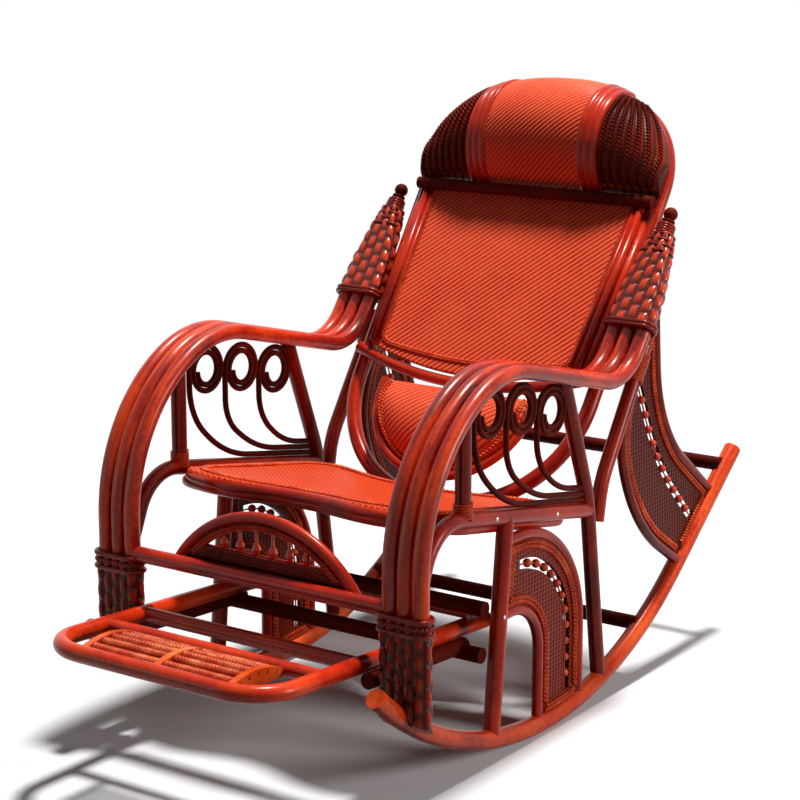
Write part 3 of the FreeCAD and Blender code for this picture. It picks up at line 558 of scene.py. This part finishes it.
def headSide(u, v):
    start = strapShape["x"] + strapShape["half"] - 1
    s = headShape["low"] + (headTop(start) - headShape["low"]) * v
    x = start + (max(headEdge(s), start + 0.5) - start) * u
    rib = abs(math.sin(math.pi * cheekShape["ribs"] * u)) ** cheekShape["sharp"]
    cord = 0.5 + 0.5 * math.cos(2 * math.pi * s / cheekShape["cordMm"])
    high = rib * (cheekShape["base"] + cheekShape["cordShare"] * cord)
    lift = cheekShape["rise"] * high * min(1, cheekShape["settle"] * (1 - v))
    return (x, s, domeHeight(headArc(x), headShape["back"], s) + lift), (x, s), high


def strapSpot(u, v):
    x = strapShape["x"] + strapShape["half"] * (u - 0.5) * 2
    hump = abs(math.sin(math.pi * u * strapShape["humps"])) ** strapShape["sharp"]
    point = headOn(x, v, strapShape["lift"] + strapShape["rise"] * hump)[0]
    return point, (x, headOn(x, v)[1]), strapShape["base"] + (1 - strapShape["base"]) * hump


bm = sheet(headShape["grid"], headCentre)
closeBack(bm, headShape["back"])
centre = makePiece("pillowTwill", bm, headPlane, twillSkin)
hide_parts("head_pillow")
for side, turn in bothSides:
    bm = sheet(cheekShape["grid"], headSide)
    closeBack(bm, headShape["back"])
    makePiece("pillowRibs" + side, bm, headPlane @ turn, ribSkin)
bm = bmesh.new()
for side in (-1, 1):
    upX, upY, upZ = cheekShape["ropeUp"]
    for rib in range(cheekShape["ribs"]):
        points = []
        for step in range(*cheekShape["ropeSpan"]):
            crest = (rib + 0.5) / cheekShape["ribs"]
            point = Vector(headSide(crest, step / cheekShape["ropeSteps"])[0])
            points.append(Vector((side * point.x, point.y, point.z + cheekShape["ropeLift"])))
        rope(bm, points, Vector((side * upX, upY, upZ)), cheekShape["ropeMm"])
makePiece("pillowRopes", bm, headPlane, shadeSkin)
for side, turn in bothSides:
    bm = sheet(strapShape["grid"], strapSpot)
    closeBack(bm, headShape["back"])
    strap = makePiece("pillowStrap" + side, bm, headPlane @ turn, poleSkin)
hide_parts("head_straps")
print("pillow woven")

# Lumbar pad: a twill lens with a plait round its rim
lumbarShape = {"top": -408.0, "back": -6.0, "half": 147.0, "outer": 152.0, "shoulder": -437.0, "fall": 131.0,
               "crown": 14.0, "crownRise": 24.0, "grid": (190, 104),
               "ribMm": 9.0, "strandMm": 5.6, "rise": 1.6, "notch": 0.35,
               "border": ((141, -412, 0), (141, -560, 0), (-141, -560, 0), (-141, -412, 0)),
               "borderBends": (136, 136), "braidLow": 2, "braidLift": 2, "braidMm": 13.0}


def lumbarArc(x):
    reach = math.sqrt(max(1 - (x / lumbarShape["outer"]) ** 2, 0))
    low = lumbarShape["shoulder"] - lumbarShape["fall"] * reach
    return domeArc(low, lumbarShape["top"], lumbarShape["crown"] + lumbarShape["crownRise"] * reach)


def lumbarHeight(x, s):
    return domeHeight(lumbarArc(x), lumbarShape["back"], s)


def lumbarSpot(u, v):
    x = lumbarShape["half"] * (2 * u - 1)
    arc = lumbarArc(x)
    s = arc[0] + arc[3] * (2 * v - 1)
    high = twill(x, s, lumbarShape)
    return (x, s, lumbarHeight(x, s) + lumbarShape["rise"] * high), (x, s), high


bm = sheet(lumbarShape["grid"], lumbarSpot)
closeBack(bm, lumbarShape["back"])
lumbar = makePiece("lumbarTwill", bm, backPlane, twillSkin)
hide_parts("lumbar_pad")
bm = bmesh.new()
points = []
for p in routePoints(lumbarShape["border"], lumbarShape["borderBends"]):
    high = max(lumbarHeight(p.x, p.y), lumbarShape["braidLow"]) + lumbarShape["braidLift"]
    points.append(Vector((p.x, p.y, high)))
braid(bm, points, upward, lumbarShape["braidMm"])
makePiece("lumbarBraid", bm, backPlane, strandSkin)
print("lumbar pad woven")

# Seat: fine weave inside a raised plait, rolled over at its edge
seatShape = {"half": 267.0, "grow": 8, "low": 9.3, "high": 22.3, "rear": 126, "front": -262,
             "lobe": (150, -300), "frontMiddle": -258, "rearMiddle": 34, "split": -60,
             "bends": (45, 70, 150, 200, 150, 70, 45, 300),
             "dish": 6.0, "dishReach": 259.0, "dishY": -80, "roll": 7.0, "grid": (150, 120),
             "braidIn": 22.0, "braidLift": 1.0, "braidMm": 14.0,
             "rollHalf": 260.0, "rollGrow": 3.0, "rollHigh": 10.0, "rollMm": 10.0}


def seatRun(half, grow, z, step):  # the seat's outline, grown or shrunk
    lobeX, lobeY = seatShape["lobe"]
    right = [(half, seatShape["rear"] + grow), (half, seatShape["front"] - grow), (lobeX, lobeY - grow)]
    left = [(-x, y) for x, y in reversed(right)]
    points = right + [(0, seatShape["frontMiddle"] - grow)] + left + [(0, seatShape["rearMiddle"] + grow)]
    return routePoints([(x, y, z) for x, y in points], seatShape["bends"], True, step)


def seatTop(x, y):
    ball = seatShape["dishReach"] ** 2 / (2 * seatShape["dish"])
    deep = ball - math.sqrt(ball ** 2 - x ** 2 - (y - seatShape["dishY"]) ** 2)
    return min(seatShape["high"] - seatShape["dish"] + deep, seatShape["high"])


edgeRun = seatRun(seatShape["half"], seatShape["grow"], 0, 3.0)
rearRun = sorted((p.x, p.y) for p in edgeRun if p.y > seatShape["split"])
frontRun = sorted((p.x, p.y) for p in edgeRun if p.y < seatShape["split"])


def edgeAt(run, x):  # where the seat's front or rear edge lies at x
    for (xa, ya), (xb, yb) in zip(run, run[1:]):
        if xa <= x <= xb and xb > xa:
            return ya + (yb - ya) * (x - xa) / (xb - xa)
    return run[0][1] if x < 0 else run[-1][1]


def seatSpot(u, v):
    x = seatShape["half"] * math.sin(math.pi / 2 * (2 * u - 1))
    front, rear = edgeAt(frontRun, x), edgeAt(rearRun, x)
    y = front + (rear - front) * (0.5 + 0.5 * math.sin(math.pi / 2 * (2 * v - 1)))
    inside = min(seatShape["half"] - abs(x), y - front, rear - y)
    short = max(1 - inside / seatShape["roll"], 0)
    drop = seatShape["roll"] * (1 - math.sqrt(1 - min(short, 1) ** 2))
    return (x, y, seatTop(x, y) - drop), (x, y), 1.0


bm = sheet(seatShape["grid"], seatSpot)
closeBack(bm, seatShape["low"])
seat = makePiece("seatWeave", bm, seatPlane, seatSkin)
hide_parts("seat_weave")
bm = bmesh.new()
points = seatRun(seatShape["half"] - seatShape["braidIn"], seatShape["grow"] - seatShape["braidIn"], 0, 6.0)
points = [Vector((p.x, p.y, seatTop(p.x, p.y) + seatShape["braidLift"])) for p in points]
braid(bm, points, upward, seatShape["braidMm"])
makePiece("seatBraid", bm, seatPlane, strandSkin)
bm = bmesh.new()
points = seatRun(seatShape["rollHalf"], seatShape["rollGrow"], seatShape["rollHigh"], 8.0)
caneRun(bm, points[:-1], seatShape["rollMm"], True, 4)
makePiece("seatRoll", bm, seatPlane, poleSkin)
print("seat woven")

# Sleeves: split cane wrapped over the three arm poles, each column half a step from the next
sleeveShape = {"grid": (120, 130), "across": 0.8, "along": 0.6, "tuck": 6, "girth": 200}
postShape = {"taper": ((0.0, 27.3, 15.6), (0.4, 24.0, 15.5), (0.72, 15.0, 15.2), (1.0, 4.0, 14.8)),
             "length": 185.0, "columns": 10, "rows": 7, "rise": 4.6,
             "rims": (1.0, 7.6), "rimHalf": 27.3, "rimRadius": 19.0, "rimMm": 3.6,
             "coils": (0.80, 0.86, 0.92, 0.98), "coilOut": 1.5, "coilMm": 2.7,
             "neckTurns": 4, "neckHalf": 0.5, "neckRadius": 15.0, "neckTaper": 0.4, "neckLow": 187.0,
             "neckStep": 5.0}
legShape = {"half": 27.3, "radius": 15.0, "low": 142.0, "fall": 0.677, "top": 318.0, "length": 180,
            "columns": 12, "rows": 5, "rise": 4.4, "rims": (316.0, 293.0), "rimRadius": 18.5, "rimMm": 4.0,
            "ropeHigh": 304.5, "ropeRadius": 17.5, "ropeMm": 11.0}


def stadium(half, radius, u):  # point and outward direction of a long round outline
    straight, bend = 2 * half, math.pi * radius
    run = (u % 1.0) * 2 * (straight + bend)
    flip = 1
    if run >= straight + bend:
        run -= straight + bend
        flip = -1
    if run < straight:
        return Vector((flip * (run - half), flip * -radius, 0)), Vector((0, -flip, 0))
    angle = (run - straight) / radius - math.pi / 2
    out = Vector((math.cos(angle), math.sin(angle), 0)) * flip
    return Vector((flip * half, 0, 0)) + out * radius, out


def cell(u, v, shape):  # share of the full rise on a wrapped sleeve
    column = math.floor(u * shape["columns"] + 1e-6)
    across = math.sin(math.pi * min(max(u * shape["columns"] - column, 0), 1))
    along = abs(math.sin(math.pi * (v * shape["rows"] + 0.5 * (column % 2))))
    return max(across, 0) ** sleeveShape["across"] * along ** sleeveShape["along"]


def stadiumRing(half, radius, z, count=64):
    points = []
    for step in range(count):
        point = stadium(half, radius, step / count)[0]
        points.append(Vector((point.x, point.y, z)))
    return points


def outward(half):  # direction away from the middle of a sleeve
    return lambda p: Vector((p.x - max(min(p.x, half), -half), p.y, 0)).normalized()


def postAt(share):
    rows = postShape["taper"]
    for (a, halfA, radiusA), (b, halfB, radiusB) in zip(rows, rows[1:]):
        if share <= b:
            mix = (share - a) / (b - a)
            return halfA + (halfB - halfA) * mix, radiusA + (radiusB - radiusA) * mix
    return rows[-1][1:]


def cellPoint(u, share, half, radius, shape):  # point on a sleeve, tucked in at both ends, and its rise
    point, out = stadium(half, radius if 0 < share < 1 else radius - sleeveShape["tuck"], u)
    high = cell(u, share, shape)
    return point + out * shape["rise"] * high, high


def sleeveShare(v):  # the outermost rows of the sheet fall on the two ends
    return min(max(v * 1.02 - 0.01, 0), 1)


def postSpot(u, v):
    share = sleeveShare(v)
    point, high = cellPoint(u, share, *postAt(share), postShape)
    along = share * postShape["length"]
    return (point.x, point.y, along), (u * sleeveShape["girth"], along), high


def legSpot(u, v):
    share = sleeveShare(v)
    point, high = cellPoint(u, share, legShape["half"], legShape["radius"], legShape)
    low = legShape["low"] - legShape["fall"] * point.y
    strand = (u * sleeveShape["girth"], share * legShape["length"])
    return (point.x, point.y, low + (legShape["top"] - low) * share), strand, high


def wrapped(spot):
    bm = sheet(sleeveShape["grid"], spot)
    bmesh.ops.remove_doubles(bm, verts=bm.verts, dist=weldMm)
    fillHoles(bm)
    return bm


for side, turn in bothSides:
    sleeve = makePiece("postWrap" + side, wrapped(postSpot), turn @ postPlane, cellSkin)
    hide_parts(side.lower() + "_post_sleeve")
    sleeve = makePiece("legWrap" + side, wrapped(legSpot), turn @ legPlane, legSkin)
    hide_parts(side.lower() + "_leg_sleeve")
    bm = bmesh.new()
    for z in postShape["rims"]:
        caneRun(bm, stadiumRing(postShape["rimHalf"], postShape["rimRadius"], z), postShape["rimMm"], True)
    for share in postShape["coils"]:
        half, radius = postAt(share)
        ring = stadiumRing(half, radius + postShape["coilOut"], share * postShape["length"])
        caneRun(bm, ring, postShape["coilMm"], True)
    for step in range(postShape["neckTurns"]):
        radius = postShape["neckRadius"] - postShape["neckTaper"] * step
        ring = stadiumRing(postShape["neckHalf"], radius, postShape["neckLow"] + postShape["neckStep"] * step)
        caneRun(bm, ring, postShape["coilMm"], True)
    makePiece("postCoils" + side, bm, turn @ postPlane, duskSkin)
    bm = bmesh.new()
    for z in legShape["rims"]:
        caneRun(bm, stadiumRing(legShape["half"], legShape["rimRadius"], z), legShape["rimMm"], True)
    ring = stadiumRing(legShape["half"], legShape["ropeRadius"], legShape["ropeHigh"])
    rope(bm, ring + ring[:1], outward(legShape["half"]), legShape["ropeMm"])
    makePiece("legRim" + side, bm, turn @ legPlane, duskSkin)
print("sleeves wrapped")

# Side panels: plaits along the borders of the fan and the tail, on both faces, and clear of the runner
fanShape = {"outer": ((0, -112, 366), (0, 123, 366), (0, 123, 60)), "outerBends": (195.0,),
            "inner": ((0, -110, 244), (0, -6.5, 244), (0, -6.5, 55)), "innerBends": (85.0,),
            "leg": ((0, -103, 270), (0, -94, 352)), "foot": (12, 104, 23.0),
            "braidMm": 14.0, "face": 5.2, "gap": 18.0}
tailShape = {"front": ((0, 388, 641), (0, 259.1, 468.9), (0, 320.8, 286), (0, 455, 200)),
             "frontBends": (170.0, 285.0),
             "rear": ((0, 407, 640), (0, 406, 444.4), (0, 590, 302)), "rearBends": (235.0,),
             "foot": (480, 570, 22.0), "braidMm": 12.0, "face": 3.8, "gap": 16.5}
runnerLine = {"radius": 723.0, "centreY": 17.5, "centreZ": 747.7, "tailY": 463.6, "tailZ": 178.8,
              "tailCos": 0.787, "tailSin": 0.617, "arcEnd": 440, "clear": 19, "steps": 30}


def runnerGap(y, z):  # height above the runner's axis, square to it
    line = runnerLine
    if y > line["tailY"]:
        return (z - line["tailZ"]) * line["tailCos"] - (y - line["tailY"]) * line["tailSin"]
    return line["radius"] - math.hypot(y - line["centreY"], z - line["centreZ"])


def alongRunner(start, end, gap):  # run that follows the top of the runner
    line = runnerLine
    points = []
    for step in range(line["steps"] + 1):
        y = start + (end - start) * step / line["steps"]
        if y < line["arcEnd"]:
            z = line["centreZ"] - math.sqrt((line["radius"] - gap) ** 2 - (y - line["centreY"]) ** 2)
        else:
            z = line["tailZ"] + ((y - line["tailY"]) * line["tailSin"] + gap) / line["tailCos"]
        points.append(Vector((0, y, z)))
    return points


fanRuns = [beside(routePoints(fanShape["outer"], fanShape["outerBends"]), sideways, -fanShape["gap"]),
           beside(routePoints(fanShape["inner"], fanShape["innerBends"]), sideways, fanShape["gap"]),
           [Vector(p) for p in fanShape["leg"]],
           alongRunner(*fanShape["foot"])]
tailRuns = [beside(routePoints(tailShape["front"], tailShape["frontBends"]), sideways, tailShape["gap"]),
            beside(routePoints(tailShape["rear"], tailShape["rearBends"]), sideways, -tailShape["gap"]),
            alongRunner(*tailShape["foot"])]
sidePanels = (("fanBraid", fanRuns, fanShape, sidePlane), ("tailBraid", tailRuns, tailShape, tailPlane))
for side, turn in bothSides:
    for name, runs, shape, plane in sidePanels:
        bm = bmesh.new()
        for run in runs:
            run = [p for p in run if runnerGap(p.y, p.z) > runnerLine["clear"]]
            for face in (-1, 1):
                shifted = [p + sideways * face * shape["face"] for p in run]
                braid(bm, shifted, sideways * face, shape["braidMm"])
        makePiece(name + side, bm, turn @ plane, strandSkin)
print("side panels plaited")

# Lunette: a plait inside its arch and two rows (height and half length) along its foot, on both faces
lunetteShape = {"archCentre": 202.4, "archRadius": 197.5, "foot": 338.0, "halfSteps": 30, "braidMm": 10.0,
                "face": 5.2, "rows": ((341.0, 158.0), (349.5, 136.0)), "rowMm": 9.0}
archCentre, archRadius = lunetteShape["archCentre"], lunetteShape["archRadius"]
reach = math.acos((lunetteShape["foot"] - archCentre) / archRadius)
bm = bmesh.new()
for face in (-1, 1):
    points = []
    for step in range(2 * lunetteShape["halfSteps"] + 1):
        angle = reach * (step / lunetteShape["halfSteps"] - 1)
        x, z = archRadius * math.sin(angle), archCentre + archRadius * math.cos(angle)
        points.append(Vector((x, face * lunetteShape["face"], z)))
    braid(bm, points, Vector((0, face, 0)), lunetteShape["braidMm"])
makePiece("lunetteBraid", bm, lunettePlane, strandSkin)
bm = bmesh.new()
for face in (-1, 1):
    for z, half in lunetteShape["rows"]:
        points = [Vector((x, face * lunetteShape["face"], z)) for x in (-half, half)]
        braid(bm, points, Vector((0, face, 0)), lunetteShape["rowMm"])
makePiece("lunetteRows", bm, lunettePlane, duskSkin)
print("lunette plaited")

# Bindings: cane coiled round the foot of the arm posts and the head of the struts
bindShape = {"caneMm": 1.9, "pitch": 4.2, "radius": 13.2, "sunk": 0.6, "steps": 20,
             "runs": (((0, -234, 431), (0, -234, 458)), ((0, 296, 552), (0, 325, 595)))}
for side, turn in bothSides:
    bm = bmesh.new()
    for run in bindShape["runs"]:
        start, end = Vector(run[0]), Vector(run[1])
        across = (end - start).normalized().cross(sideways).normalized()
        steps = (end - start).length / bindShape["pitch"] * bindShape["steps"]
        out = bindShape["radius"] + bindShape["caneMm"] * bindShape["sunk"]
        points = []
        for step in range(int(steps)):
            angle = 2 * math.pi * step / bindShape["steps"]
            arm = sideways * math.cos(angle) + across * math.sin(angle)
            points.append(start + (end - start) * step / steps + arm * out)
        caneRun(bm, points, bindShape["caneMm"], False, 2)
    makePiece("binding" + side, bm, turn @ sidePlane, strandSkin)

# Screws: slotless dome heads on the outer faces of the rails and the middle legs
screwShape = {"radius": 3.8, "flat": 0.45, "sides": 14, "rings": 8,
              "places": ((12.2, -154, 414.7), (12.2, 30, 380.6), (13.2, -131, 247))}
for side, turn in bothSides:
    bm = bmesh.new()
    for place in screwShape["places"]:
        made = bmesh.ops.create_uvsphere(
            bm, u_segments=screwShape["sides"], v_segments=screwShape["rings"], radius=screwShape["radius"])
        bmesh.ops.scale(bm, vec=(screwShape["flat"], 1, 1), verts=made["verts"])
        bmesh.ops.translate(bm, vec=place, verts=made["verts"])
    makePiece("screwHeads" + side, bm, turn @ sidePlane, screwSkin)
print("bindings and screws set")

# Footrest rollers: two barrels of turned beads on one axle, five rows over the arch of the boards
rollerShape = {"rows": 5, "pitch": 21.0, "middle": 74.0, "high": 9.0, "fall": 8.0, "fallReach": 50.0,
               "axle": 3.5, "end": 148.0, "start": 6.6, "stop": 136.4, "shoulder": 0.01, "sides": 12,
               "beads": 20, "profile": ((0.0, 6.0), (0.18, 7.5), (0.5, 8.4), (0.82, 7.5))}
axle, beadCount = rollerShape["axle"], rollerShape["beads"]
bead = (rollerShape["stop"] - rollerShape["start"]) / beadCount
stations = [(-rollerShape["end"], axle)]
for start in (-rollerShape["stop"], rollerShape["start"]):
    stations.append((start - rollerShape["shoulder"], axle))
    for k in range(beadCount):
        stations += [(start + bead * (k + share), radius) for share, radius in rollerShape["profile"]]
    stop = start + bead * beadCount
    stations += [(stop, rollerShape["profile"][0][1]), (stop + rollerShape["shoulder"], axle)]
stations.append((rollerShape["end"], axle))
for row in range(rollerShape["rows"]):
    number = str(row + 1)
    offset = (row - rollerShape["rows"] // 2) * rollerShape["pitch"]
    high = rollerShape["high"] - rollerShape["fall"] * (offset / rollerShape["fallReach"]) ** 2
    bm = bmesh.new()
    turnedRod(bm, stations, rollerShape["sides"], leaning((0, rollerShape["middle"] + offset, high)))
    roller = makePiece("beadedRoller" + number, bm, restPlane, rollerSkin, "roller_" + number)
    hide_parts("massage_roller_" + number)
print("rollers turned")


def whiteRays(tree):  # 1 for rays that meet the white room: seen, mirrored or looked through
    path = addNode(tree, "ShaderNodeLightPath", {}, {})
    glimpse = addNode(tree, "ShaderNodeMath", {"operation": "MAXIMUM"}, {
        0: path.outputs["Is Glossy Ray"], 1: path.outputs["Is Transmission Ray"]})
    seen = addNode(tree, "ShaderNodeMath", {"operation": "MAXIMUM"}, {
        0: path.outputs["Is Camera Ray"], 1: glimpse.outputs[0]})
    return seen.outputs[0]


# Floor: matt white paint that fades into the white room, and throws little light back up
floorLook = {"radius": 3.2, "sides": 96, "fadeStart": 1.0, "fadeEnd": 0.98, "roughness": 0.6,
             "seen": "#F4F4F4", "bounce": "#45423F"}
bm = bmesh.new()
bmesh.ops.create_circle(bm, cap_ends=True, segments=floorLook["sides"], radius=floorLook["radius"])
mesh = bpy.data.meshes.new("floor")
bm.to_mesh(mesh)
bm.free()
floor = bpy.data.objects.new("floor", mesh)
bpy.context.scene.collection.objects.link(floor)
material, tree = freshTree("paintedFloor")
coords = addNode(tree, "ShaderNodeTexCoord", {}, {})
colour = addNode(tree, "ShaderNodeMix", {"data_type": "RGBA"}, {
    0: whiteRays(tree), 6: linear(floorLook["bounce"]), 7: linear(floorLook["seen"])})
away = addNode(tree, "ShaderNodeVectorMath", {"operation": "LENGTH"}, {0: coords.outputs["Object"]})
fade = addNode(tree, "ShaderNodeMapRange", {"interpolation_type": "SMOOTHSTEP"}, {
    "Value": away.outputs["Value"], "From Min": floorLook["fadeStart"],
    "From Max": floorLook["radius"] * floorLook["fadeEnd"]})
paint = addNode(tree, "ShaderNodeBsdfDiffuse", {}, {
    "Color": colour.outputs[2], "Roughness": floorLook["roughness"]})
clear = addNode(tree, "ShaderNodeBsdfTransparent", {}, {})
mix = addNode(tree, "ShaderNodeMixShader", {}, {
    0: fade.outputs[0], 1: paint.outputs[0], 2: clear.outputs[0]})
addNode(tree, "ShaderNodeOutputMaterial", {}, {"Surface": mix.outputs[0]})
mesh.materials.append(material)

# Room: white to the eye and in the gloss, and a very faint light on the chair
worldLook = {"room": "#F2F4F8", "strength": 0.025}
world = bpy.data.worlds.new("studio")
bpy.context.scene.world = world
world.use_nodes = True
tree = world.node_tree
tree.nodes.clear()
room = addNode(tree, "ShaderNodeBackground", {}, {
    "Color": linear(worldLook["room"]), "Strength": worldLook["strength"]})
white = addNode(tree, "ShaderNodeBackground", {}, {"Color": (1, 1, 1, 1), "Strength": 1.0})
mix = addNode(tree, "ShaderNodeMixShader", {}, {
    0: whiteRays(tree), 1: room.outputs[0], 2: white.outputs[0]})
addNode(tree, "ShaderNodeOutputWorld", {}, {"Surface": mix.outputs[0]})

# Lamps, each with its place, aim, width in metres and watts: a small hard key high above and a little
# behind the chair, a faint fill in front and a weak one at the side
lampLook = {"overhead": ((0.4, 1.5, 7.0), (0.0, 0.1, 0.5), 0.8, 660.0),
            "front": ((-2.2, -3.4, 0.9), (0.0, 0.0, 0.4), 1.2, 8.0),
            "side": ((3.8, 0.9, 1.4), (0.1, 0.0, 0.5), 1.4, 80.0)}
for name, (place, aim, size, power) in lampLook.items():
    lamp = bpy.data.lights.new(name, "AREA")
    lamp.shape = "DISK"
    lamp.size = size
    lamp.energy = power
    holder = bpy.data.objects.new(name, lamp)
    holder.location = place
    holder.rotation_euler = (Vector(aim) - Vector(place)).to_track_quat("-Z", "Y").to_euler()
    bpy.context.scene.collection.objects.link(holder)

cameraLook = {"place": (2.0744, -2.97895, 1.3501), "turn": 0.61032, "tip": 0.22304, "lens": 99.0,
              "sensor": 36.0, "reach": 100.0}
view = bpy.data.cameras.new("view")
view.lens = cameraLook["lens"]
view.sensor_width = cameraLook["sensor"]
view.clip_end = cameraLook["reach"]
eye = bpy.data.objects.new("view", view)
eye.location = cameraLook["place"]
eye.rotation_euler = (math.pi / 2 - cameraLook["tip"], 0, cameraLook["turn"])
bpy.context.scene.collection.objects.link(eye)
bpy.context.scene.camera = eye
bpy.context.scene.view_settings.view_transform = "Standard"
print("light and camera set")
